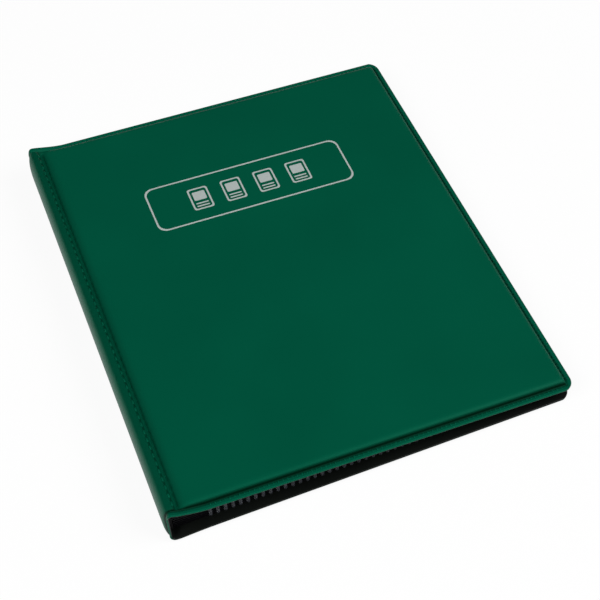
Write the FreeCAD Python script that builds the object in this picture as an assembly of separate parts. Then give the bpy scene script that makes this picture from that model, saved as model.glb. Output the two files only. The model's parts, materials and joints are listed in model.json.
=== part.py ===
"""Four-pocket card album: heat-sealed vinyl covers over boards, with ten bound pocket leaves.

Millimetres. X runs from the spine to the fore-edge, Y from tail to head, Z up.
The closed album lies on its back cover, with the origin under the middle of it.
"""
import FreeCAD, Part
import math
import os

# Outside of the closed album
ALBUM_LENGTH = 200.0
ALBUM_WIDTH = 168.0
SPINE_HEIGHT = 19.5
FRONT_OVERHANG = 1.0
FRONT_TILT_DEG = 2.7
COVER_CORNER_RADIUS = 5.0

# Sheets that a cover is made of
SKIN_THICKNESS = 0.5
FOAM_THICKNESS = 1.0
BOARD_THICKNESS = 1.2
LINING_THICKNESS = 0.4
STIFFENER_THICKNESS = 1.2
STIFFENER_SIDE_MARGIN = 1.0
STIFFENER_END_MARGIN = 1.5

# Welded edge round a cover, and the padded panel inside it
FLANGE_WIDTH = 2.75
PAD_CORNER_RADIUS = 3.5
PAD_EDGE_RADIUS = 1.6

# Shoulders, where the vinyl bends between the spine and a cover
SHOULDER_RADIUS = 3.2
HINGE_INSET = 1.0
HINGE_WELD_START = 5.2
PAD_START = 7.2
LINING_BEND_RADIUS = 0.9

# Pocket leaves
LEAF_COUNT = 10
ROOT_PITCH = 1.3
LEAF_REST_GAP = 0.1
CORE_THICKNESS = 0.16
FILM_THICKNESS = 0.12
BINDING_MARGIN = 13.0
POCKET_WIDTH = 66.5
POCKET_HEIGHT = 92.5
SEAM_WIDTH = 3.0
POCKET_LIP = 1.0
THUMB_NOTCH_RADIUS = 9.0
LEAF_CORNER_RADIUS = 3.0

# Strip that holds the leaves to the spine
BINDING_STRIP_THICKNESS = 1.4
ROOT_CLEARANCE = 0.1
STACK_CLEARANCE = 0.2

# Worked out from the values above
SPINE_X = -ALBUM_WIDTH / 2
HALF_LENGTH = ALBUM_LENGTH / 2
WELD_THICKNESS = LINING_THICKNESS + SKIN_THICKNESS
BOARD_TOP = LINING_THICKNESS + BOARD_THICKNESS
FOAM_TOP = BOARD_TOP + FOAM_THICKNESS
COVER_THICKNESS = FOAM_TOP + SKIN_THICKNESS
TILT = math.radians(FRONT_TILT_DEG)
LEAF_THICKNESS = CORE_THICKNESS + 2 * FILM_THICKNESS
LEAF_WIDTH = BINDING_MARGIN + 2 * POCKET_WIDTH + 2 * SEAM_WIDTH
LEAF_HEIGHT = 2 * (SEAM_WIDTH + POCKET_HEIGHT)
SPINE_WALL = SKIN_THICKNESS + STIFFENER_THICKNESS + LINING_THICKNESS
STRIP_FACE_X = SPINE_X + SPINE_WALL + BINDING_STRIP_THICKNESS
ROOT_X = STRIP_FACE_X + ROOT_CLEARANCE + LEAF_THICKNESS / 2
LEAF_FAR_X = ROOT_X + LEAF_WIDTH
FIRST_ROOT_Z = COVER_THICKNESS + STACK_CLEARANCE + LEAF_THICKNESS / 2
LAST_ROOT_Z = FIRST_ROOT_Z + (LEAF_COUNT - 1) * ROOT_PITCH
FAR_PITCH = LEAF_THICKNESS + LEAF_REST_GAP
HINGE_X = SPINE_X + HINGE_INSET
FRONT_START_X = SPINE_X + HINGE_WELD_START

# The front cover's inner face rests on the leaves: it clears the top leaf at both of its ends
LAST_FAR_Z = FIRST_ROOT_Z + (LEAF_COUNT - 1) * FAR_PITCH
CLEAR_AT_ROOT = LAST_ROOT_Z + (ROOT_X - FRONT_START_X) * math.tan(TILT)
CLEAR_AT_FAR_END = LAST_FAR_Z + (LEAF_FAR_X - FRONT_START_X) * math.tan(TILT)
FRONT_INNER_Z = max(CLEAR_AT_ROOT, CLEAR_AT_FAR_END) + LEAF_THICKNESS / 2 + STACK_CLEARANCE


def vector(x, y, z):
    return FreeCAD.Vector(x, y, z)


def block(x0, x1, y0, y1, z0, z1):
    return Part.makeBox(x1 - x0, y1 - y0, z1 - z0, vector(x0, y0, z0))


def edges_along(shape, axis, keep):
    """Straight edges along one axis whose middle passes the test keep."""
    found = []
    for edge in shape.Edges:
        span = edge.Vertexes[-1].Point - edge.Vertexes[0].Point
        if span.Length > 0 and abs(span.normalize().dot(axis)) > 0.999 and keep(edge.CenterOfMass):
            found.append(edge)
    return found


def rounded_plate(x0, x1, half_y, z0, z1, radius, spine_side_too=False):
    """Plate with rounded corners at the fore-edge, and at the spine side if asked."""
    plate = block(x0, x1, -half_y, half_y, z0, z1)
    middle = (x0 + x1) / 2
    corners = edges_along(plate, vector(0, 0, 1), lambda point: spine_side_too or point.x > middle)
    return plate.makeFillet(radius, corners)


def pillow(x0, x1, half_y, z0, z1, corner, edge):
    """Padded panel: a plate with rounded corners whose top edge is rolled over."""
    plate = rounded_plate(x0, x1, half_y, z0, z1, corner, spine_side_too=True)
    rim = [item for item in plate.Edges if item.BoundBox.ZMin > z1 - edge / 2]
    return plate.makeFillet(edge, rim)


def cover_pieces(fore_x):
    """Skin, foam, board and lining of one cover, flat, with its inner face at z = 0 and its outside up."""
    pad_x0 = SPINE_X + PAD_START
    pad_x1 = fore_x - FLANGE_WIDTH
    pad_half = HALF_LENGTH - FLANGE_WIDTH
    weld_plate = rounded_plate(
        FRONT_START_X, fore_x, HALF_LENGTH, LINING_THICKNESS, WELD_THICKNESS, COVER_CORNER_RADIUS
    )
    pad = pillow(
        pad_x0, pad_x1, pad_half, LINING_THICKNESS, COVER_THICKNESS, PAD_CORNER_RADIUS, PAD_EDGE_RADIUS
    )
    inside = pillow(
        pad_x0 + SKIN_THICKNESS,
        pad_x1 - SKIN_THICKNESS,
        pad_half - SKIN_THICKNESS,
        LINING_THICKNESS,
        FOAM_TOP,
        PAD_CORNER_RADIUS - SKIN_THICKNESS,
        PAD_EDGE_RADIUS - SKIN_THICKNESS,
    )
    below_foam = block(SPINE_X, fore_x, -HALF_LENGTH, HALF_LENGTH, 0, BOARD_TOP)
    return {
        "outer_skin": weld_plate.fuse(pad).removeSplitter().cut(inside),
        "foam_pad": inside.cut(below_foam),
        "board": inside.common(below_foam),
        "lining": rounded_plate(
            FRONT_START_X, fore_x, HALF_LENGTH, 0, LINING_THICKNESS, COVER_CORNER_RADIUS
        ),
    }


def back_cover():
    """The back cover lies with its padded side on the table."""
    pieces = {}
    for name, shape in cover_pieces(ALBUM_WIDTH / 2 - FRONT_OVERHANG).items():
        turned = shape.mirror(vector(0, 0, 0), vector(0, 0, 1))
        turned.translate(vector(0, 0, COVER_THICKNESS))
        pieces["back_" + name] = turned
    return pieces


def front_cover():
    """The front cover falls from the spine to the fore-edge, where the leaves lie closest."""
    run = (ALBUM_WIDTH / 2 - FRONT_START_X) / math.cos(TILT)
    pieces = {}
    for name, shape in cover_pieces(FRONT_START_X + run).items():
        shape.rotate(vector(FRONT_START_X, 0, 0), vector(0, 1, 0), FRONT_TILT_DEG)
        shape.translate(vector(0, 0, FRONT_INNER_Z))
        pieces["front_" + name] = shape
    return pieces


def spine():
    """Flat wall of the spine: outer skin with its welded ends, stiffener and lining."""
    low = SHOULDER_RADIUS
    high = SPINE_HEIGHT - SHOULDER_RADIUS
    skin_in = SPINE_X + SKIN_THICKNESS
    lining_out = skin_in + STIFFENER_THICKNESS
    stiffener_half = HALF_LENGTH - FLANGE_WIDTH - STIFFENER_END_MARGIN
    stiffener_low = low + STIFFENER_SIDE_MARGIN
    stiffener_high = high - STIFFENER_SIDE_MARGIN
    wall = block(SPINE_X, lining_out, -HALF_LENGTH, HALF_LENGTH, low, high)
    pocket = block(
        skin_in, lining_out, -stiffener_half, stiffener_half, stiffener_low, stiffener_high
    )
    strip_half = LEAF_HEIGHT / 2
    return {
        "spine_outer_skin": wall.cut(pocket),
        "spine_stiffener": pocket,
        "spine_lining": block(
            lining_out, lining_out + LINING_THICKNESS, -HALF_LENGTH, HALF_LENGTH, low, high
        ),
        "page_binding_strip": block(
            SPINE_X + SPINE_WALL, STRIP_FACE_X, -strip_half, strip_half, low, high
        ),
    }


def bent_strip(points, arc_middle):
    """Vinyl strip along Y: its profile is two concentric bends closed by straight ends.

    points are the outer start, outer end of bend, outer weld end, then the same inside, backwards.
    """
    outer_start, outer_bend, outer_end, inner_end, inner_bend, inner_start = points
    outer_middle, inner_middle = arc_middle
    edges = [
        Part.Arc(outer_start, outer_middle, outer_bend).toShape(),
        Part.makeLine(outer_bend, outer_end),
        Part.makeLine(outer_end, inner_end),
        Part.makeLine(inner_end, inner_bend),
        Part.Arc(inner_bend, inner_middle, inner_start).toShape(),
        Part.makeLine(inner_start, outer_start),
    ]
    return Part.Face(Part.Wire(edges)).extrude(vector(0, ALBUM_LENGTH, 0))


def hinge_strip(wall_z, weld_z, up, depth, thickness, radius):
    """One bent sheet from the spine wall round a shoulder to a cover's weld.

    wall_z is where the bend leaves the wall, weld_z the sheet's outer face at the weld, up is 1 or -1,
    depth is how far the sheet's outer face lies inside the spine's, and radius is its outer bend radius.
    """
    centre_x = SPINE_X + depth + radius
    inner = radius - thickness
    diagonal = math.sqrt(0.5)
    y = -HALF_LENGTH

    def outside(r):
        return vector(centre_x - r, y, wall_z)

    def top(r):
        return vector(centre_x, y, wall_z + up * r)

    def middle(r):
        return vector(centre_x - r * diagonal, y, wall_z + up * r * diagonal)

    points = [
        outside(radius),
        top(radius),
        vector(FRONT_START_X, y, weld_z),
        vector(FRONT_START_X, y, weld_z - up * thickness),
        top(inner),
        outside(inner),
    ]
    return bent_strip(points, (middle(radius), middle(inner)))


def hinge_vinyl(wall_z, inner_face_z, up):
    """Outer and lining sheets of one shoulder, bent round it and welded flat at the cover."""
    outer = hinge_strip(
        wall_z, inner_face_z + up * WELD_THICKNESS, up, 0.0, SKIN_THICKNESS, SHOULDER_RADIUS
    )
    lining_depth = SPINE_WALL - LINING_THICKNESS
    lining = hinge_strip(
        wall_z,
        inner_face_z + up * LINING_THICKNESS,
        up,
        lining_depth,
        LINING_THICKNESS,
        LINING_THICKNESS + LINING_BEND_RADIUS,
    )
    return Part.makeCompound([outer, lining])


def leaf_frame(shape, index):
    """Puts a leaf made flat at the root line into the stack: upper leaves fan down to the fore-edge."""
    root_z = FIRST_ROOT_Z + index * ROOT_PITCH
    fall = index * (ROOT_PITCH - FAR_PITCH)
    shape.rotate(vector(0, 0, 0), vector(0, 1, 0), math.degrees(math.asin(fall / LEAF_WIDTH)))
    shape.translate(vector(ROOT_X, 0, root_z))
    return shape


def pocket_places():
    """Low corner of each of the four pockets on a leaf."""
    columns = (BINDING_MARGIN, BINDING_MARGIN + POCKET_WIDTH + SEAM_WIDTH)
    rows = (-LEAF_HEIGHT / 2 + SEAM_WIDTH, SEAM_WIDTH)
    return [(x, y) for y in rows for x in columns]


def leaf():
    """Black sheet of one leaf, thick at its bound margin and its welded seams, rounded at the root."""
    half = LEAF_HEIGHT / 2
    thick = LEAF_THICKNESS / 2
    sheet = rounded_plate(0, LEAF_WIDTH, half, -thick, thick, LEAF_CORNER_RADIUS)
    root = Part.makeCylinder(thick, LEAF_HEIGHT, vector(0, -half, 0), vector(0, 1, 0))
    body = sheet.fuse(root).removeSplitter()
    for x, y in pocket_places():
        for side in (1, -1):
            low, high = sorted((side * CORE_THICKNESS / 2, side * 2 * thick))
            body = body.cut(block(x, x + POCKET_WIDTH, y, y + POCKET_HEIGHT, low, high))
    return body


def pocket_films(side):
    """The four clear films on one face of a leaf, each open at its head with a thumb notch."""
    low, high = sorted((side * CORE_THICKNESS / 2, side * LEAF_THICKNESS / 2))
    films = []
    for x, y in pocket_places():
        film_head = y + POCKET_HEIGHT - POCKET_LIP
        film = block(x, x + POCKET_WIDTH, y, film_head, low, high)
        notch = Part.makeCylinder(
            THUMB_NOTCH_RADIUS, high - low, vector(x + POCKET_WIDTH / 2, film_head, low)
        )
        films.append(film.cut(notch))
    return Part.makeCompound(films)


def leaves():
    """All leaves, numbered from the front cover down."""
    pieces = {}
    for index in range(LEAF_COUNT):
        number = "%02d" % (LEAF_COUNT - index)
        pieces["leaf_" + number] = leaf_frame(leaf(), index)
        pieces["front_pockets_" + number] = leaf_frame(pocket_films(1), index)
        pieces["back_pockets_" + number] = leaf_frame(pocket_films(-1), index)
    return pieces


def album():
    front_wall_z = SPINE_HEIGHT - SHOULDER_RADIUS
    pieces = {}
    pieces.update(back_cover())
    pieces.update(spine())
    pieces["back_hinge_vinyl"] = hinge_vinyl(SHOULDER_RADIUS, COVER_THICKNESS, -1)
    pieces["front_hinge_vinyl"] = hinge_vinyl(front_wall_z, FRONT_INNER_Z, 1)
    pieces.update(leaves())
    pieces.update(front_cover())
    return pieces


os.makedirs("parts", exist_ok=True)
for node, shape in album().items():
    shape.exportStep("parts/%s.step" % node)
print("hinge axes (x, z): back %.3f %.3f, front %.3f %.3f" % (
    HINGE_X, HINGE_INSET, HINGE_X, SPINE_HEIGHT - HINGE_INSET))
print("leaf roots: x %.3f, z %.3f to %.3f" % (ROOT_X, FIRST_ROOT_Z, LAST_ROOT_Z))
print("front inner face at its weld %.3f, leaf %.1f x %.1f" % (FRONT_INNER_Z, LEAF_WIDTH, LEAF_HEIGHT))
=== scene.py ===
"""Looks of a four-pocket card album: padded vinyl covers welded over boards, and ten bound leaves of pockets.

Metres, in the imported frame: X from the spine to the fore-edge, Y from tail to head, Z up.
The album lies shut on its back cover.
"""
import bmesh
import bpy
import json
import math
import numpy as np
from mathutils import Matrix, Vector


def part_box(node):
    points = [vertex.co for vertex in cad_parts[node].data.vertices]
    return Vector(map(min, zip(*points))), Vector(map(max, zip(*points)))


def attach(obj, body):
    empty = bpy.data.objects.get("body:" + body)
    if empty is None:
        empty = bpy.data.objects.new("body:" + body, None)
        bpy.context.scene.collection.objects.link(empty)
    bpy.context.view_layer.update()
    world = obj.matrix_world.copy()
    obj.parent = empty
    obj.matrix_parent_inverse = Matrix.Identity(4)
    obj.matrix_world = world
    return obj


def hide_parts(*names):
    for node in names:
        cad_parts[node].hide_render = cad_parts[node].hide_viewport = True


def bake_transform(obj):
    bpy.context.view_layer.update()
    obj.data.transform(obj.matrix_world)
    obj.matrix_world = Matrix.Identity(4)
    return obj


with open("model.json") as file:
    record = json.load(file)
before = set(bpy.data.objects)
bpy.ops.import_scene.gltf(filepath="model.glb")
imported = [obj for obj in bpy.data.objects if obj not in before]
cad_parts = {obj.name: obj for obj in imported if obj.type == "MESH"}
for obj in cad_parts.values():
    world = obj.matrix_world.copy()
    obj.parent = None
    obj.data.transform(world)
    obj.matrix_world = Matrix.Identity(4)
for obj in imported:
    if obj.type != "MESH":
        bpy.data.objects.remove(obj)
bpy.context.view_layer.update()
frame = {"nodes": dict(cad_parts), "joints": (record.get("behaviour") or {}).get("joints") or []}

# Boards inside the covers, and the stiffener inside the spine.
# Grey pressed board, sealed between the two sheets of vinyl, which hide it.
MM = 0.001
PULP_FLECK = 1.5 * MM


def linear(code):
    """Linear RGBA of an sRGB hex colour."""
    channels = [int(code[i:i + 2], 16) / 255 for i in (1, 3, 5)]
    return [c / 12.92 if c <= 0.04045 else ((c + 0.055) / 1.055) ** 2.4 for c in channels] + [1.0]


def add_node(material, kind, inputs=None, **settings):
    """One shader node: settings are its properties, inputs are plain values or (node, output) links."""
    tree = material.node_tree
    node = tree.nodes.new(kind)
    for name, value in settings.items():
        setattr(node, name, value)
    for name, value in (inputs or {}).items():
        if isinstance(value, tuple):
            tree.links.new(value[0].outputs[value[1]], node.inputs[name])
        else:
            node.inputs[name].default_value = value
    return node


def new_material(name):
    """Empty node material, and a node that gives its object coordinates in metres."""
    material = bpy.data.materials.new(name)
    material.use_nodes = True
    material.node_tree.nodes.clear()
    return material, add_node(material, "ShaderNodeTexCoord")


def finish_material(material, shader):
    """The material, with the shader as its surface."""
    add_node(material, "ShaderNodeOutputMaterial", {"Surface": (shader, 0)})
    return material


def dress(node, material):
    """Gives a CAD node's own mesh a better material."""
    slots = frame["nodes"][node].data.materials
    slots.clear()
    slots.append(material)


# Greyboard: pulp pressed flat, so pale flecks about 1.5 mm long on a warm grey
greyboard, place = new_material("pressed_greyboard")
fleck = add_node(greyboard, "ShaderNodeTexNoise", {"Vector": (place, "Object"), "Scale": 1 / PULP_FLECK})
tone = add_node(greyboard, "ShaderNodeMix", {
    0: (fleck, 0), 6: linear("#8C867B"), 7: linear("#B4AEA2")}, data_type="RGBA")
pulp = add_node(greyboard, "ShaderNodeBump", {"Height": (fleck, 0), "Strength": 0.3, "Distance": 0.05 * MM})
finish_material(greyboard, add_node(greyboard, "ShaderNodeBsdfPrincipled", {
    "Base Color": (tone, 2), "Normal": (pulp, 0), "Roughness": 0.9}))

for node in ("back_board", "front_board", "spine_stiffener"):
    dress(node, greyboard)

# Back cover: two sheets of vinyl, green outside and black inside, heat-sealed round the board and foam.
# They bend up into the spine. The seal leaves a flat edge with a bead at its rim, and a groove beside the pad,
# which is painted darker as painted shade in the crease.

# Welded edge, from the rim inwards
WELD = 0.9 * MM
FLANGE = 2.75 * MM
CORNER = 5.0 * MM
RIM_RADIUS = 0.45 * MM
BEAD_PLACE = 0.55 * MM
BEAD_HALF = 0.4 * MM
BEAD_HEIGHT = 0.16 * MM
GROOVE_HALF = 0.45 * MM
GROOVE_DEPTH = 0.5 * MM
# Pad: a tight roll along three sides, a slower one at the hinge weld, and a slight crown
PAD_ROLL = 2.6 * MM
PAD_CROWN = 0.25 * MM
HINGE_WELD = 2.0 * MM
HINGE_VALLEY = 1.5 * MM
HINGE_ROLL = 5.0 * MM
HINGE_ROLL_FULLNESS = 0.75
# Spine: a rounded wall, and shoulders that fall to the hinge valleys
SPINE_ROUNDNESS = 2.5
LINING_BEND = 0.9 * MM
SHOULDER_ROLL = 1.5 * MM
WALL_ROLL = 2.6 * MM
SHOULDER_FLAT, SHOULDER_FALL = 0.32, 0.5
# Welded ends: they fall from the shoulder's height to the panel's, and are drawn in a little at the spine
END_FALL_RUN = 13.0 * MM
END_FALL_EASE = 1.25
END_FALL_DEPTH = 6.2 * MM
END_RAISE_EASE = 4
SPINE_TRIM = 0.4
SPINE_CORNER = 5.0 * MM
# Painted shade in the seal's grooves round the pad, much deeper at the tail than at the head, and in the hinge
# valley and up its slope, with a slightly darker strip beside the spine: shares of the shade colour, and where
# they start and fade
TAIL_SHADE, HEAD_SHADE, RIM_SHADE = 0.95, 0.3, 0.45
SEAL_START = 1.6 * MM
SEAL_FADE = 1.0 * MM
STRIP_DARKENING, VALLEY_SHADE, SLOPE_SHADE = 0.33, 0.6, 0.15
STRIP_START = 1.7 * MM
STRIP_EDGE = 0.7 * MM
VALLEY_BACK = 1.6 * MM
VALLEY_HALF = 0.55 * MM
SLOPE_PLACE = 2.6 * MM
SLOPE_HALF = 1.3 * MM
# Mesh: places from an edge inwards, close over the rim, bead, groove and roll of the pad, then wide apart
WELD_STATIONS = np.array([
    0, 0.04, 0.12, 0.24, 0.36, 0.48, 0.64, 0.85, 1.1, 1.5, 1.9, 2.1, 2.3, 2.5, 2.65]) * MM
ROLL_STATIONS = np.array([0, 0.05, 0.15, 0.3, 0.55, 0.85, 1.25, 1.75, 2.3, 3.0, 4.2, 6.2, 9.2]) * MM
EDGE_STATIONS = np.concatenate([WELD_STATIONS, FLANGE + ROLL_STATIONS])
VALLEY_STEP = 0.25 * MM
WIDE_STEP = 7.0 * MM
BACK_BEND_COLUMNS = 16
FALL_COLUMNS = 22
FAR_FROM_RIM = 1.0
SAME_POINT = 0.001 * MM
SLIVER = 0.0005 * MM
# Embossed grain, and the wide changes of tone where the sheet is pulled over the foam
VINYL_GRAIN = 0.8 * MM
GRAIN_DEPTH = 0.05 * MM
PULL_WIDTH = 45 * MM

back_low, back_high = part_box("back_lining")
spine_low, spine_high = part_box("spine_outer_skin")
album_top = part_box("front_hinge_vinyl")[1].z
half_length = back_high.y
hinge_x = back_low.x
pad_height = back_high.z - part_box("back_outer_skin")[0].z - WELD - PAD_CROWN
spine_lining_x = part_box("spine_lining")[1].x
shoulder = spine_low.z
shoulder_top_x = spine_low.x + shoulder
hinges = {joint["name"]: Vector(joint["pos_m"]) for joint in frame["joints"]}


def quarter_round(distance, radius):
    """0 at an edge, rising on a quarter circle to 1 at the radius."""
    share = np.clip(distance / radius, 0, 1)
    return np.sqrt(1 - (1 - share) ** 2)


def eased(share):
    """0 to 1, flat at both ends."""
    share = np.clip(share, 0, 1)
    return share * share * (3 - 2 * share)


def hump(distance, place, half_width):
    """1 at a place, falling away smoothly to both sides."""
    return np.exp(-((distance - place) / half_width) ** 2)


def stations(lead, length):
    """Distances across a panel: its leading stations, wide steps, then the stations of its far edge."""
    far = length - EDGE_STATIONS[::-1]
    steps = int((far[0] - lead[-1]) / WIDE_STEP)
    return np.concatenate([lead, np.linspace(lead[-1], far[0], steps)[1:-1], far])


def add_mesh(name, points, faces, materials, flat=(), wears=None):
    """Mesh piece in the frame, smooth but for the faces named as flat. wears picks each face's material."""
    mesh = bpy.data.meshes.new(name)
    mesh.from_pydata([tuple(point) for point in points], [], faces)
    flat = set(flat)
    for material in materials:
        mesh.materials.append(material)
    for polygon in mesh.polygons:
        polygon.use_smooth = polygon.index not in flat
        if wears:
            polygon.material_index = wears[polygon.index]
    piece = bpy.data.objects.new(name, mesh)
    bpy.context.scene.collection.objects.link(piece)
    return piece


def hinge_shade(x):
    """How far the vinyl is painted darker across a hinge: a little on the strip beside the spine, and painted
    shade most in the valley and less and less up the slope of the pad."""
    past = x - (hinge_x + HINGE_VALLEY - VALLEY_BACK)
    strip = STRIP_DARKENING * eased((x - shoulder_top_x + STRIP_START) / STRIP_EDGE) * (past < 0)
    slope = SLOPE_SHADE * hump(past, SLOPE_PLACE, SLOPE_HALF)
    return np.maximum(strip + slope, VALLEY_SHADE * hump(past, 0, VALLEY_HALF))


def bend_columns(inner, outer):
    """Section columns of the spine and its shoulders, which have no rim, crown or rounded corner."""
    span = outer - inner
    thickness = np.linalg.norm(span, axis=1)
    out = span / thickness[:, None]
    count = len(inner)
    return {"inner": inner, "out": out, "pad": thickness - WELD, "crown": np.zeros(count),
            "from_rim": np.full(count, FAR_FROM_RIM), "draw": np.zeros((count, 2)),
            "roll": SHOULDER_ROLL + (WALL_ROLL - SHOULDER_ROLL) * out[:, 0] ** 2,
            "pressed": hinge_shade(outer[:, 0])}


def panel_columns(start, along, out, run):
    """Section columns of a padded cover, from the valley of its hinge weld to its rim."""
    lead = np.concatenate([[HINGE_VALLEY, HINGE_VALLEY + VALLEY_STEP], HINGE_WELD + ROLL_STATIONS])
    u = stations(lead, run)
    from_rim = run - u
    across = (u - HINGE_WELD) / (run - FLANGE - HINGE_WELD)
    hinge_rise = np.sin(np.pi / 2 * np.clip((u - HINGE_VALLEY) / HINGE_ROLL, 0, 1)) ** HINGE_ROLL_FULLNESS
    rise = hinge_rise * quarter_round(from_rim - FLANGE, PAD_ROLL)
    return {"inner": start + u[:, None] * along, "out": np.repeat([out], len(u), 0), "pad": pad_height * rise,
            "crown": PAD_CROWN * np.clip(4 * across * (1 - across), 0, 1), "from_rim": from_rim,
            "draw": np.clip(u - (run - CORNER), 0, None)[:, None] * -along, "roll": np.full(len(u), PAD_ROLL),
            "pressed": hinge_shade(start[0] + u * along[0])}


def spine_columns(first_turn, last_turn, count, wall_z, up, valley):
    """Section columns round the spine between two turns, and down from the shoulder to the hinge valley.

    Turns are degrees from the table side, -90, to the front cover's side, 90.
    """
    turns = np.radians(np.linspace(first_turn, last_turn, count))
    power = 2 / SPINE_ROUNDNESS
    outer = np.stack([
        shoulder_top_x - shoulder * np.abs(np.cos(turns)) ** power,
        album_top / 2 * (1 + np.sign(turns) * np.abs(np.sin(turns)) ** power)], axis=1)
    past = np.clip(up * (outer[:, 1] - wall_z), 0, None)
    bend = np.arctan2(past, shoulder_top_x - outer[:, 0])
    inner = np.stack([
        spine_lining_x + LINING_BEND * (1 - np.cos(bend)),
        np.where(past > 0, wall_z + up * LINING_BEND * np.sin(bend), outer[:, 1])], axis=1)
    fall = np.linspace(0, 1, FALL_COLUMNS)[1:-1, None]
    steep = eased((fall - SHOULDER_FLAT) / SHOULDER_FALL)
    to_valley = (valley - inner[-1]) * np.hstack([fall, eased(fall)])
    to_weld = (valley + [0, up * WELD] - outer[-1]) * np.hstack([fall, steep])
    return bend_columns(
        np.concatenate([inner, inner[-1] + to_valley]), np.concatenate([outer, outer[-1] + to_weld]))


def run_ends_on(foot, columns, from_end, panel_start, panel_along, end_raise):
    """Moves the welded ends so that they run on smoothly from the shoulder to the panel, because the hinge
    weld stops short of them. end_raise is the share of the shoulder's height that they keep."""
    x, z = columns["inner"].T
    above = z - (panel_start[1] + (x - panel_start[0]) * panel_along[1] / panel_along[0])
    top = np.argmax(np.abs(above) * (x > spine_lining_x + LINING_BEND / 2) * (x < panel_start[0]))
    past_top = np.arange(len(x)) > top
    to_panel = (1 - np.clip((x - x[top]) / END_FALL_RUN, 0, 1)) ** END_FALL_EASE
    lift = np.where(past_top, above[top] * to_panel - above, 0)
    foot[..., 1] += lift[:, None] * (1 - eased(from_end / END_FALL_DEPTH))
    share = np.where(past_top, to_panel, columns["out"][:, 1] ** END_RAISE_EASE)
    raised = end_raise * columns["pad"][top] * share
    raised = raised[:, None] * (1 - quarter_round(from_end - FLANGE, SHOULDER_ROLL))
    foot += raised[:, :, None] * np.where(past_top[:, None], columns["out"][top], columns["out"])[:, None, :]


def drawn_in_ends(columns, y, from_end):
    """Places along the album, with the welded ends drawn in at the spine's corners."""
    weld_x = columns["inner"][:, 0] + columns["out"][:, 0] * WELD
    at_spine = np.clip(1 - (weld_x - weld_x.min()) / SPINE_CORNER, 0, 1)
    trim = SPINE_TRIM * (1 - np.sqrt(1 - at_spine ** 2))[:, None] * np.clip(FLANGE - from_end, 0, None)
    return y - np.sign(y) * trim


def painted_seal_shade(columns, y, from_end, from_edge):
    """How far each place of the outer sheet is painted darker: painted shade in the grooves round the pad, and
    across the hinge.
    """
    groove = eased((from_edge - SEAL_START) / (FLANGE - SEAL_START))
    groove = groove * (1 - eased((from_edge - FLANGE) / SEAL_FADE))
    at_end = from_end < columns["from_rim"][:, None]
    # Painted shade: far darker in the tail's groove than in the head's
    groove = np.where(at_end, np.where(y < 0, TAIL_SHADE, HEAD_SHADE), RIM_SHADE) * groove
    return np.maximum(groove, columns["pressed"][:, None] * eased((from_end - FLANGE) / SEAL_FADE))


def closed_shell(name, lining_points, outer_points, pressed):
    """Shell of two grids of points joined round their edges, smooth but for its end in the spine."""
    count, rows = pressed.shape
    lining = np.arange(pressed.size).reshape(count, rows)
    outer = lining + pressed.size
    faces, wears, caps = [], [], []
    for i in range(count - 1):
        for j in range(rows - 1):
            for sheet, wear in ((lining, 1), (outer, 0)):
                faces.append((sheet[i, j], sheet[i + 1, j], sheet[i + 1, j + 1], sheet[i, j + 1]))
                wears.append(wear)
        for j in (0, rows - 1):
            faces.append((lining[i, j], lining[i + 1, j], outer[i + 1, j], outer[i, j]))
            wears.append(0)
    for i in (0, count - 1):
        for j in range(rows - 1):
            if i == 0:
                caps.append(len(faces))
            faces.append((lining[i, j], lining[i, j + 1], outer[i, j + 1], outer[i, j]))
            wears.append(0)
    faces = [[int(k) for k in face] for face in faces]
    points = np.concatenate([lining_points.reshape(-1, 3), outer_points.reshape(-1, 3)])
    piece = add_mesh(name, points, faces, [vinyl, lining_vinyl], caps, wears)
    # The outer sheet's painted shade, as a share at each point; the lining has none
    shade_share = piece.data.attributes.new("pressed", "FLOAT", "POINT")
    shade_share.data.foreach_set("value", np.concatenate([np.zeros(pressed.size), pressed.ravel()]))
    shell = bmesh.new()
    shell.from_mesh(piece.data)
    bmesh.ops.remove_doubles(shell, verts=shell.verts, dist=SAME_POINT)
    bmesh.ops.dissolve_degenerate(shell, edges=shell.edges, dist=SLIVER)
    bmesh.ops.recalc_face_normals(shell, faces=shell.faces)
    shell.to_mesh(piece.data)
    shell.free()
    return piece


def welded_vinyl(name, parts, panel_start, panel_along, end_raise=0.0):
    """Closed shell of outer vinyl and lining over a run of section columns, welded at head and tail."""
    columns = {key: np.concatenate([part[key] for part in parts]) for key in parts[0]}
    y = stations(EDGE_STATIONS, 2 * half_length) - half_length
    from_end = half_length - np.abs(y)
    from_edge = np.minimum(columns["from_rim"][:, None], from_end)
    rim = quarter_round(from_edge, RIM_RADIUS)
    relief = BEAD_HEIGHT * hump(from_edge, BEAD_PLACE, BEAD_HALF)
    relief = relief - GROOVE_DEPTH * hump(from_edge, FLANGE - GROOVE_HALF, GROOVE_HALF)
    swell = quarter_round(from_end - FLANGE, columns["roll"][:, None])
    crown = columns["crown"][:, None] * np.clip(1 - (y / (half_length - FLANGE)) ** 2, 0, 1)
    low = 0.5 * WELD * (1 - rim)
    high = low + (WELD + relief) * rim + columns["pad"][:, None] * swell + crown
    in_corner = np.clip(1 - from_end / CORNER, 0, 1)
    drawn = 1 - np.sqrt(1 - in_corner ** 2)
    foot = columns["inner"][:, None, :] + columns["draw"][:, None, :] * drawn[None, :, None]
    run_ends_on(foot, columns, from_end, panel_start, panel_along, end_raise)
    ends = drawn_in_ends(columns, y, from_end)
    sheets = []
    for height in (low, high):
        at = foot + columns["out"][:, None, :] * height[:, :, None]
        sheets.append(np.stack([at[..., 0], ends, at[..., 1]], axis=2))
    return closed_shell(name, *sheets, painted_seal_shade(columns, y, from_end, from_edge))


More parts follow.
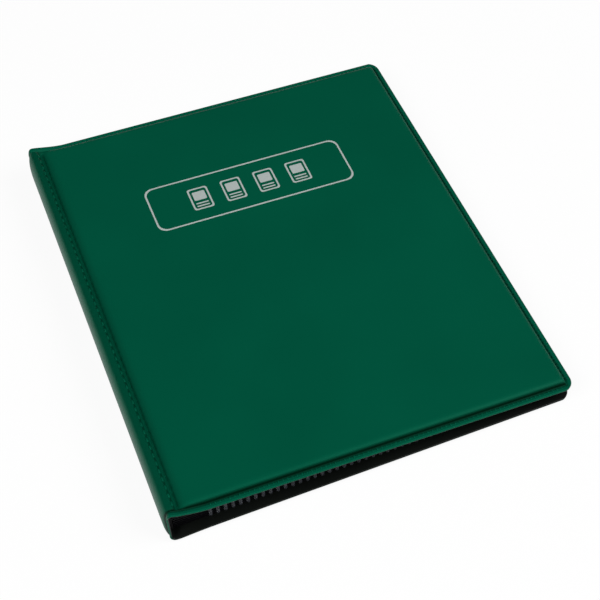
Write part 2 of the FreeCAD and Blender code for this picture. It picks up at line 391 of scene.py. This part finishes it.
def calendered_pvc(name, dark, light, pressed, sheen, shine):
    """Calendered PVC sheet: satin, embossed with a fine leather-like grain. The real grain is about 0.3 mm wide
    and wouldn't show, so it is drawn at 0.8 mm. Slow changes of tone and gloss come from the sheet's pull over
    the foam. The third colour is painted shade, mixed in by a share on the mesh in the grooves and hinge
    valleys.
    Its shine takes the tint of sheen."""
    material, place = new_material(name)
    grain = add_node(material, "ShaderNodeTexNoise", {
        "Vector": (place, "Object"), "Scale": 1 / VINYL_GRAIN, "Detail": 3.0, "Roughness": 0.55})
    pull = add_node(material, "ShaderNodeTexNoise", {
        "Vector": (place, "Object"), "Scale": 1 / PULL_WIDTH, "Detail": 2.0})
    tone = add_node(material, "ShaderNodeMix", {
        0: (pull, 0), 6: linear(dark), 7: linear(light)}, data_type="RGBA")
    # Painted shade of the grooves and hinge valleys, mixed in by the mesh's share
    shade_share = add_node(material, "ShaderNodeAttribute", attribute_name="pressed")
    tone = add_node(material, "ShaderNodeMix", {
        0: (shade_share, 2), 6: (tone, 2), 7: linear(pressed)}, data_type="RGBA")
    gloss = add_node(material, "ShaderNodeMapRange", {"Value": (pull, 0), "To Min": 0.42, "To Max": 0.5})
    emboss = add_node(material, "ShaderNodeBump", {
        "Height": (grain, 0), "Strength": 0.25, "Distance": GRAIN_DEPTH})
    return finish_material(material, add_node(material, "ShaderNodeBsdfPrincipled", {
        "Base Color": (tone, 2), "Roughness": (gloss, 0), "Normal": (emboss, 0), "IOR": 1.53,
        "Specular IOR Level": shine, "Specular Tint": linear(sheen)}))


# The third colour of each sheet is the painted shade of the grooves and hinge valleys
vinyl = calendered_pvc("green_calendered_pvc", "#004C37", "#01553E", "#00180C", "#70E0B8", 0.11)
lining_vinyl = calendered_pvc("black_calendered_pvc", "#050806", "#090D0A", "#050806", "#FFFFFF", 0.18)

# The back cover's sheets end on the spine's wall, where the spine's own begin
split = (album_top / 2 - spine_low.z) / (album_top / 2)
split_turn = -math.degrees(math.asin(split ** (SPINE_ROUNDNESS / 2)))
back_start = np.array([hinge_x, back_high.z])
back_along, back_out = np.array([1.0, 0.0]), np.array([0.0, -1.0])
back_run = back_high.x - hinge_x
back_valley = back_start + HINGE_VALLEY * back_along
back_shoulder = spine_columns(split_turn, -90, BACK_BEND_COLUMNS, spine_low.z, -1, back_valley)
back_panel = panel_columns(back_start, back_along, back_out, back_run)
back_vinyl = welded_vinyl("back_cover_vinyl", [back_shoulder, back_panel], back_start, back_along)
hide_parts("back_outer_skin", "back_foam_pad", "back_lining", "back_hinge_vinyl")
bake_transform(back_vinyl)

# Spine and front cover: one more pair of vinyl sheets, welded like the back's, with the stiffener sealed in
# the spine's wall. The front lies on the leaves, so it falls a little from its shoulder to the fore-edge.
LINING = 0.4 * MM
FRONT_BEND_COLUMNS = 44
FRONT_END_RAISE = 0.85

front_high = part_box("front_lining")[1]
front_turn = next(joint for joint in frame["joints"] if joint["name"] == "front_hinge")["range_deg"][1]
tilt = math.radians(front_turn - 90)
front_along = np.array([math.cos(tilt), -math.sin(tilt)])
front_out = np.array([math.sin(tilt), math.cos(tilt)])
front_start = np.array([hinge_x, front_high.z - LINING * math.cos(tilt)])
front_run = (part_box("front_outer_skin")[1].x - hinge_x) / math.cos(tilt)
front_valley = front_start + HINGE_VALLEY * front_along
front_shoulder = spine_columns(split_turn, 90, FRONT_BEND_COLUMNS, spine_high.z, 1, front_valley)
front_panel = panel_columns(front_start, front_along, front_out, front_run)
front_vinyl = welded_vinyl(
    "spine_and_front_vinyl", [front_shoulder, front_panel], front_start, front_along, FRONT_END_RAISE)
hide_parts("front_outer_skin", "front_foam_pad", "front_lining", "front_hinge_vinyl",
            "spine_outer_skin", "spine_lining")
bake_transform(front_vinyl)

# Weld ribs: the electrode's knurl leaves a row of low ridges across every seal, and a row of longer ones,
# like stitches, on the crest beside each hinge weld. They are part of the vinyl. The stitches under the album
# are pressed flatter.
RIB_PITCH = 1.9 * MM
RIB_SIZE = (0.6 * MM, 0.4 * MM, 0.26 * MM)
RIB_PLACE = 1.45 * MM
STITCH_PITCH = 3.7 * MM
FRONT_STITCH = (1.35 * MM, 0.9 * MM, 0.45 * MM)
BACK_STITCH = (1.35 * MM, 0.4 * MM, 0.15 * MM)
# Half-way down from the shoulder to the valley, counted from the last of the shoulder's columns
STITCH_COLUMN = -11
# A ridge is a low dome: a ring at its foot, a smaller one near its top, and a point sunk under it
RIDGE_SIDES = 8
RIDGE_CROWN, RIDGE_CROWN_HEIGHT = 0.75, 0.66
RIDGE_ROOT = -0.5
SIDEWAYS = np.array([0, 1.0, 0])


def gather(shapes):
    """One list of points and one of faces from several shapes."""
    points, faces = [], []
    for more_points, more_faces in shapes:
        faces += [tuple(len(points) + k for k in face) for face in more_faces]
        points += list(more_points)
    return points, faces


def ridges(places, size):
    """Points and faces of ridges, each at a centre with its long, short and outward directions."""
    ring = [(math.cos(a), math.sin(a)) for a in np.linspace(0, math.tau, RIDGE_SIDES + 1)[:-1]]
    unit = [(0, 0, 1)] + [(RIDGE_CROWN * c, RIDGE_CROWN * s, RIDGE_CROWN_HEIGHT) for c, s in ring]
    unit += [(c, s, 0) for c, s in ring] + [(0, 0, RIDGE_ROOT)]
    steps = [(k, (k + 1) % RIDGE_SIDES) for k in range(RIDGE_SIDES)]
    crown, foot, root = 1, 1 + RIDGE_SIDES, 1 + 2 * RIDGE_SIDES
    cells = [(0, crown + k, crown + n) for k, n in steps]
    cells += [(crown + k, foot + k, foot + n, crown + n) for k, n in steps]
    cells += [(root, foot + n, foot + k) for k, n in steps]
    shapes = []
    for centre, long, short, out in places:
        turn = np.array([long, short, out]) * np.array(size)[:, None]
        shapes.append((np.array(unit) @ turn + centre, cells))
    return gather(shapes)


def in_frame(flat):
    """A section's X and Z as a point or direction of the frame."""
    return np.array([flat[0], 0, flat[1]])


def rib_places(start, along, out, run):
    """Ribs on the three flanges of a cover."""
    flat, up = in_frame(along), in_frame(out)
    origin = in_frame(start + out * WELD)
    places = []
    for u in np.arange(END_FALL_RUN, run - CORNER, RIB_PITCH):
        for side in (-1, 1):
            centre = origin + flat * u + SIDEWAYS * side * (half_length - RIB_PLACE)
            places.append((centre, SIDEWAYS, flat, up))
    for y in np.arange(-half_length + CORNER, half_length - CORNER, RIB_PITCH):
        places.append((origin + flat * (run - RIB_PLACE) + SIDEWAYS * y, flat, SIDEWAYS, up))
    return places


def stitch_places(columns):
    """Stitches on the crest between the shoulder and the hinge valley."""
    outer = columns["inner"] + columns["out"] * (columns["pad"] + WELD)[:, None]
    slope = outer[STITCH_COLUMN + 1] - outer[STITCH_COLUMN - 1]
    slope = slope / np.linalg.norm(slope)
    out = np.array([-slope[1], slope[0]])
    out = out * np.sign(out @ columns["out"][STITCH_COLUMN])
    ends = half_length - 2 * FLANGE
    return [(in_frame(outer[STITCH_COLUMN]) + SIDEWAYS * y, SIDEWAYS, in_frame(slope), in_frame(out))
            for y in np.arange(-ends, ends, STITCH_PITCH)]


for body, columns, section, stitch_size in (
        ("back_cover", back_shoulder, (back_start, back_along, back_out, back_run), BACK_STITCH),
        ("front_cover", front_shoulder, (front_start, front_along, front_out, front_run), FRONT_STITCH)):
    for kind, places, size in (
            ("ribs", rib_places(*section), RIB_SIZE), ("stitches", stitch_places(columns), stitch_size)):
        knurl = add_mesh(body + "_weld_" + kind, *ridges(places, size), [vinyl])
        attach(knurl, body)

# Foil print on the front cover: a plain line frame with four small cards in a row, of silver foil that was
# stamped hot into the vinyl. The design is generic: each card has a picture and two lines under it.
FOIL_X, FOIL_Y = 1.8 * MM, 45.2 * MM
FOIL_WIDTH, FOIL_HEIGHT = 89.5 * MM, 25.6 * MM
FOIL_CORNER = 4.0 * MM
FOIL_LINE = 0.75 * MM
FOIL_LIFT = 0.02 * MM
FOIL_STEP = 4.0 * MM
FOIL_CORNER_POINTS = 7
CARD_COUNT = 4
CARD_WIDTH, CARD_HEIGHT = 9.0 * MM, 12.6 * MM
CARD_CORNER = 1.1 * MM
CARD_PITCH = 15.0 * MM
PICTURE_WIDTH, PICTURE_HEIGHT = 5.6 * MM, 5.0 * MM
PICTURE_CORNER = 0.5 * MM
PICTURE_RISE = 1.6 * MM
LINE_DROPS = (2.7 * MM, 4.3 * MM)
LINE_HEIGHT = 0.7 * MM
LINE_CORNER = 0.3 * MM

# Stamping foil: a thin silver layer under a lacquer, satin because it takes the vinyl's grain
foil, place = new_material("silver_stamping_foil")
grain = add_node(foil, "ShaderNodeTexNoise", {
    "Vector": (place, "Object"), "Scale": 1 / VINYL_GRAIN, "Detail": 2.0})
tone = add_node(foil, "ShaderNodeMix", {
    0: (grain, 0), 6: linear("#C0CCC8"), 7: linear("#D3DCD9")}, data_type="RGBA")
emboss = add_node(foil, "ShaderNodeBump", {"Height": (grain, 0), "Strength": 0.2, "Distance": GRAIN_DEPTH})
finish_material(foil, add_node(foil, "ShaderNodeBsdfPrincipled", {
    "Base Color": (tone, 2), "Normal": (emboss, 0), "Metallic": 0.3, "Roughness": 0.45}))


def rounded_outline(width, height, radius):
    """Points round a rectangle with rounded corners, close enough together to follow the pad's crown."""
    points = []
    for turn, (x, y) in enumerate(((1, 1), (-1, 1), (-1, -1), (1, -1))):
        centre = np.array([x * (width / 2 - radius), y * (height / 2 - radius)])
        for angle in np.radians(90 * turn + np.linspace(0, 90, FOIL_CORNER_POINTS)):
            points.append(centre + radius * np.array([math.cos(angle), math.sin(angle)]))
    closed = []
    for here, there in zip(points, points[1:] + points[:1]):
        steps = max(1, int(np.linalg.norm(there - here) / FOIL_STEP))
        closed += [here + (there - here) * k / steps for k in range(steps)]
    return np.array(closed)


def on_front(flat, lift):
    """Points of the padded front face over flat places in X and Y, raised by lift."""
    u = (flat[:, 0] - front_start[0]) / math.cos(tilt)
    across = (u - HINGE_WELD) / (front_run - FLANGE - HINGE_WELD)
    crown = PAD_CROWN * 4 * across * (1 - across) * (1 - (flat[:, 1] / (half_length - FLANGE)) ** 2)
    at = front_start + u[:, None] * front_along + front_out * (WELD + pad_height + crown + lift)[:, None]
    return np.stack([at[:, 0], flat[:, 1], at[:, 1]], axis=1)


def foil_piece(outer, inner):
    """Points and faces of a thin plate: a ring between two outlines, or a filled outline if inner is None."""
    count = len(outer)
    rings = [on_front(outer, -FOIL_LIFT), on_front(outer, FOIL_LIFT)]
    if inner is None:
        faces = [tuple(range(count, 2 * count)), tuple(reversed(range(count)))]
        walls = ((0, 1),)
    else:
        rings += [on_front(inner, FOIL_LIFT), on_front(inner, -FOIL_LIFT)]
        faces = []
        walls = ((0, 1), (1, 2), (2, 3), (3, 0))
    for a, b in walls:
        for k in range(count):
            n = (k + 1) % count
            faces.append((a * count + k, a * count + n, b * count + n, b * count + k))
    return np.concatenate(rings), faces


foil_middle = np.array([FOIL_X, FOIL_Y])
prints = [(foil_middle, FOIL_WIDTH, FOIL_HEIGHT, FOIL_CORNER, True)]
for k in range(CARD_COUNT):
    card_middle = foil_middle + np.array([(k - (CARD_COUNT - 1) / 2) * CARD_PITCH, 0])
    picture_middle = card_middle + np.array([0, PICTURE_RISE])
    prints.append((card_middle, CARD_WIDTH, CARD_HEIGHT, CARD_CORNER, True))
    prints.append((picture_middle, PICTURE_WIDTH, PICTURE_HEIGHT, PICTURE_CORNER, False))
    for drop in LINE_DROPS:
        prints.append((card_middle - np.array([0, drop]), PICTURE_WIDTH, LINE_HEIGHT, LINE_CORNER, False))
shapes = []
for middle, width, height, radius, line_only in prints:
    outer = middle + rounded_outline(width, height, radius)
    inner = middle + (outer - middle) * (1 - 2 * FOIL_LINE / np.array([width, height])) if line_only else None
    shapes.append(foil_piece(outer, inner))
points, faces = gather(shapes)
foil_print = add_mesh("front_foil_print", points, faces, [foil], flat=range(len(faces)))
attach(foil_print, "front_cover")

# Binding strip: black woven tape that the leaves are welded to.
# It is stuck along the inside of the spine, and only its ends show while the album is shut.
YARN_PITCH = 0.6 * MM

# Woven polyester tape: dull ribs of yarn about 0.6 mm apart. At a scale of 1 the bands are pi / 10 apart.
tape, place = new_material("woven_black_tape")
yarn = add_node(tape, "ShaderNodeTexWave", {
    "Vector": (place, "Object"), "Scale": math.pi / 10 / YARN_PITCH, "Distortion": 0.6}, bands_direction="Y")
tone = add_node(tape, "ShaderNodeMix", {
    0: (yarn, 1), 6: linear("#060608"), 7: linear("#0E0E11")}, data_type="RGBA")
weave = add_node(tape, "ShaderNodeBump", {"Height": (yarn, 1), "Strength": 0.6, "Distance": 0.15 * MM})
finish_material(tape, add_node(tape, "ShaderNodeBsdfPrincipled", {
    "Base Color": (tone, 2), "Normal": (weave, 0), "Roughness": 0.8, "Specular IOR Level": 0.2}))
dress("page_binding_strip", tape)

# Leaves: black polypropylene sheet with a bound margin. The pocket films are welded to it along knurled
# seams, whose teeth show at the tail as a row of small bright ridges.
BOUND_MARGIN = 13.0 * MM
SEAM = 3.0 * MM
TOOTH_PITCH = 3.0 * MM
TOOTH_LENGTH = 1.5 * MM
TOOTH_WIDTH = 1.0 * MM
TOOTH_OVERHANG = 0.5 * MM
TOOTH_SHARE = 0.45
SHEET_HAZE = 2.5 * MM
FILM_WAVE = 18 * MM
WELD_SMOKE = 1.5 * MM

# Extruded polypropylene: black with a breath of blue, half matt, with a faint haze of fine scratches
sheet, place = new_material("black_extruded_polypropylene")
haze = add_node(sheet, "ShaderNodeTexNoise", {
    "Vector": (place, "Object"), "Scale": 1 / SHEET_HAZE, "Detail": 4.0})
tone = add_node(sheet, "ShaderNodeMix", {
    0: (haze, 0), 6: linear("#050508"), 7: linear("#09090D")}, data_type="RGBA")
gloss = add_node(sheet, "ShaderNodeMapRange", {"Value": (haze, 0), "To Min": 0.35, "To Max": 0.5})
ripple = add_node(sheet, "ShaderNodeBump", {"Height": (haze, 0), "Strength": 0.15, "Distance": 0.05 * MM})
finish_material(sheet, add_node(sheet, "ShaderNodeBsdfPrincipled", {
    "Base Color": (tone, 2), "Roughness": (gloss, 0), "Normal": (ripple, 0), "IOR": 1.49,
    "Specular IOR Level": 0.2}))

# Clear cast film: hardly there but for its gloss, which a slack sheet breaks into long soft waves
film, place = new_material("clear_cast_film")
slack = add_node(film, "ShaderNodeTexNoise", {
    "Vector": (place, "Object"), "Scale": 1 / FILM_WAVE, "Detail": 1.0})
waves = add_node(film, "ShaderNodeBump", {"Height": (slack, 0), "Strength": 0.3, "Distance": 1.0 * MM})
gloss = add_node(film, "ShaderNodeMapRange", {"Value": (slack, 0), "To Min": 0.06, "To Max": 0.14})
finish_material(film, add_node(film, "ShaderNodeBsdfPrincipled", {
    "Base Color": linear("#B4BAC0"), "Roughness": (gloss, 0), "Normal": (waves, 0), "IOR": 1.49,
    "Alpha": 0.1}))

# Knurled weld: film melted on to the black sheet, which leaves smoky, glossy ridges
weld_film, place = new_material("melted_film_weld")
smoke = add_node(weld_film, "ShaderNodeTexNoise", {
    "Vector": (place, "Object"), "Scale": 1 / WELD_SMOKE, "Detail": 2.0})
tone = add_node(weld_film, "ShaderNodeMix", {
    0: (smoke, 0), 6: linear("#202328"), 7: linear("#3C4047")}, data_type="RGBA")
melt = add_node(weld_film, "ShaderNodeBump", {"Height": (smoke, 0), "Strength": 0.2, "Distance": 0.1 * MM})
finish_material(weld_film, add_node(weld_film, "ShaderNodeBsdfPrincipled", {
    "Base Color": (tone, 2), "Normal": (melt, 0), "Roughness": 0.25, "IOR": 1.49}))

leaf_names = sorted(name for name in frame["nodes"] if name.startswith("leaf_"))
roots = sorted(hinges[name.replace("leaf", "page") + "_hinge"].z for name in leaf_names)
root_pitch = (roots[-1] - roots[0]) / (len(roots) - 1)
end_pitch = (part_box("leaf_01")[0].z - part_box("leaf_10")[0].z) / (len(roots) - 1)
for name in leaf_names:
    number = name[-2:]
    dress(name, sheet)
    dress("front_pockets_" + number, film)
    dress("back_pockets_" + number, film)
    low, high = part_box(name)
    root = hinges["page_%s_hinge" % number]
    half_sheet = root.x - low.x
    run = high.x - root.x
    fall = math.asin((high.z - low.z - 2 * half_sheet) / run)
    along = np.array([math.cos(fall), 0, -math.sin(fall)])
    out = np.array([math.sin(fall), 0, math.cos(fall)])
    column = (run - BOUND_MARGIN - 2 * SEAM) / 2
    places = []
    for u in np.arange(BOUND_MARGIN + TOOTH_PITCH / 2, run - SEAM, TOOTH_PITCH):
        for y in (low.y + SEAM / 2, SEAM / 2):
            places.append((u, y - TOOTH_OVERHANG, SIDEWAYS, along))
    for y in np.arange(low.y + SEAM + TOOTH_PITCH / 2, high.y - SEAM, TOOTH_PITCH):
        for u in (BOUND_MARGIN + column + SEAM / 2, run - SEAM / 2):
            places.append((u, y, along, SIDEWAYS))
    # The leaves spread a little from their roots, so teeth farther out have more room
    shapes = []
    for u, y, long, short in places:
        gap = root_pitch + (end_pitch - root_pitch) * u / run - 2 * half_sheet
        size = (TOOTH_LENGTH, TOOTH_WIDTH, TOOTH_SHARE * gap)
        for side in (-1, 1):
            centre = np.array(root) + along * u + SIDEWAYS * y + out * side * half_sheet
            shapes.append(ridges([(centre, long, short, out * side)], size))
    teeth = add_mesh("weld_teeth_" + number, *gather(shapes), [weld_film])
    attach(teeth, "page_" + number)

# Floor: a white sheet of paper under the album, lit to white, that keeps the album's shadow.
# It lies a hair below the album, and looks nearly white to the camera and in gloss.
FLOOR_SIZE = 6.0
FLOOR_DROP = 0.2 * MM
FLOOR_GLOW = 0.92
PAPER_TOOTH = 3 * MM

# Matt paper: an even white with a hardly visible tooth
paper, place = new_material("white_backdrop_paper")
tooth = add_node(paper, "ShaderNodeTexNoise", {
    "Vector": (place, "Object"), "Scale": 1 / PAPER_TOOTH, "Detail": 2.0})
tone = add_node(paper, "ShaderNodeMix", {
    0: (tooth, 0), 6: linear("#FAFAFA"), 7: linear("#FFFFFF")}, data_type="RGBA")
matt = add_node(paper, "ShaderNodeBsdfDiffuse", {"Color": (tone, 2)})
white = add_node(paper, "ShaderNodeEmission", {"Color": linear("#FFFFFF"), "Strength": 1.0})
rays = add_node(paper, "ShaderNodeLightPath")
seen = add_node(paper, "ShaderNodeMath", {
    0: (rays, "Is Camera Ray"), 1: (rays, "Is Glossy Ray")}, operation="MAXIMUM")
seen = add_node(paper, "ShaderNodeMath", {
    0: (seen, 0), 1: (rays, "Is Transmission Ray")}, operation="MAXIMUM")
share = add_node(paper, "ShaderNodeMath", {0: (seen, 0), 1: FLOOR_GLOW}, operation="MULTIPLY")
finish_material(paper, add_node(paper, "ShaderNodeMixShader", {0: (share, 0), 1: (matt, 0), 2: (white, 0)}))
half = FLOOR_SIZE / 2
floor_points = [(-half, -half, 0), (half, -half, 0), (half, half, 0), (-half, half, 0)]
floor = add_mesh("floor", floor_points, [(0, 1, 2, 3)], [paper])
floor.location.z = -FLOOR_DROP

# Studio light: a large soft box over the tail and the fore-edge, and a weaker one over the spine's side.
# The room is dim grey, but white to the camera, and in gloss it shows a white sweep low down on the
# spine's side.
KEY_PLACE, KEY_SIZE, KEY_POWER = (1.1, -0.8, 1.28), 1.3, 28.3
SIDE_PLACE, SIDE_SIZE, SIDE_POWER = (-1.05, -0.4, 1.15), 1.0, 14.6
ROOM_GREY = "#9A9A9A"
ROOM_STRENGTH = 0.12
SWEEP_LOW, SWEEP_HIGH = 0.1, 0.4
SWEEP_START, SWEEP_END = -0.6, -0.2


def soft_box(name, place, size, power):
    """Round soft box that faces the album."""
    light = bpy.data.lights.new(name, "AREA")
    light.shape = "DISK"
    light.size = size
    light.energy = power
    lamp = bpy.data.objects.new(name, light)
    lamp.location = place
    lamp.rotation_mode = "QUATERNION"
    lamp.rotation_quaternion = (-Vector(place)).to_track_quat("-Z", "Y")
    bpy.context.scene.collection.objects.link(lamp)


soft_box("key_soft_box", KEY_PLACE, KEY_SIZE, KEY_POWER)
soft_box("side_soft_box", SIDE_PLACE, SIDE_SIZE, SIDE_POWER)
room = bpy.data.worlds.new("room")
room.use_nodes = True
room.node_tree.nodes.clear()
rays = add_node(room, "ShaderNodeLightPath")
place = add_node(room, "ShaderNodeTexCoord")
heading = add_node(room, "ShaderNodeSeparateXYZ", {0: (place, "Generated")})
low_down = add_node(room, "ShaderNodeMapRange", {
    "Value": (heading, "Z"), "From Min": SWEEP_LOW, "From Max": SWEEP_HIGH, "To Min": 1.0, "To Max": 0.0})
beside = add_node(room, "ShaderNodeMapRange", {
    "Value": (heading, "X"), "From Min": SWEEP_END, "From Max": SWEEP_START, "To Min": 0.0, "To Max": 1.0})
sweep = add_node(room, "ShaderNodeMath", {0: (low_down, 0), 1: (beside, 0)}, operation="MULTIPLY")
mirrored = add_node(room, "ShaderNodeMath", {
    0: (rays, "Is Glossy Ray"), 1: (rays, "Is Transmission Ray")}, operation="MAXIMUM")
mirrored = add_node(room, "ShaderNodeMath", {0: (mirrored, 0), 1: (sweep, 0)}, operation="MULTIPLY")
seen = add_node(room, "ShaderNodeMath", {0: (rays, "Is Camera Ray"), 1: (mirrored, 0)}, operation="MAXIMUM")
tone = add_node(room, "ShaderNodeMix", {
    0: (seen, 0), 6: linear(ROOM_GREY), 7: linear("#FFFFFF")}, data_type="RGBA")
level = add_node(room, "ShaderNodeMapRange", {"Value": (seen, 0), "To Min": ROOM_STRENGTH, "To Max": 1.0})
sky = add_node(room, "ShaderNodeBackground", {"Color": (tone, 2), "Strength": (level, 0)})
add_node(room, "ShaderNodeOutputWorld", {"Surface": (sky, 0)})
bpy.context.scene.world = room
bpy.context.scene.view_settings.view_transform = "Standard"

# Camera: at the photograph's viewing angle, a short telephoto at about 0.6 m, a little rolled.
# Its angles are from the tail's side and from the table, and its target is a point on the table.
CAMERA_AZIMUTH = math.radians(-18.37)
CAMERA_ELEVATION = math.radians(52.29)
CAMERA_ROLL = math.radians(-3.67)
CAMERA_DISTANCE = 601.6 * MM
CAMERA_TARGET = Vector((2.62, -11.59, 0)) * MM
FOCAL_PIXELS = 1435.1
IMAGE_PIXELS = 600
SENSOR = 36.0

camera_data = bpy.data.cameras.new("camera")
camera_data.sensor_width = SENSOR
camera_data.lens = FOCAL_PIXELS / IMAGE_PIXELS * SENSOR
camera = bpy.data.objects.new("camera", camera_data)
back = Vector((
    math.sin(CAMERA_AZIMUTH) * math.cos(CAMERA_ELEVATION),
    -math.cos(CAMERA_AZIMUTH) * math.cos(CAMERA_ELEVATION),
    math.sin(CAMERA_ELEVATION)))
right = Vector((math.cos(CAMERA_AZIMUTH), math.sin(CAMERA_AZIMUTH), 0))
up = back.cross(right)
rolled_right = right * math.cos(CAMERA_ROLL) + up * math.sin(CAMERA_ROLL)
rolled_up = up * math.cos(CAMERA_ROLL) - right * math.sin(CAMERA_ROLL)
camera.matrix_world = Matrix.Translation(CAMERA_TARGET + back * CAMERA_DISTANCE) @ Matrix(
    (rolled_right, rolled_up, back)).transposed().to_4x4()
bpy.context.scene.collection.objects.link(camera)
bpy.context.scene.camera = camera
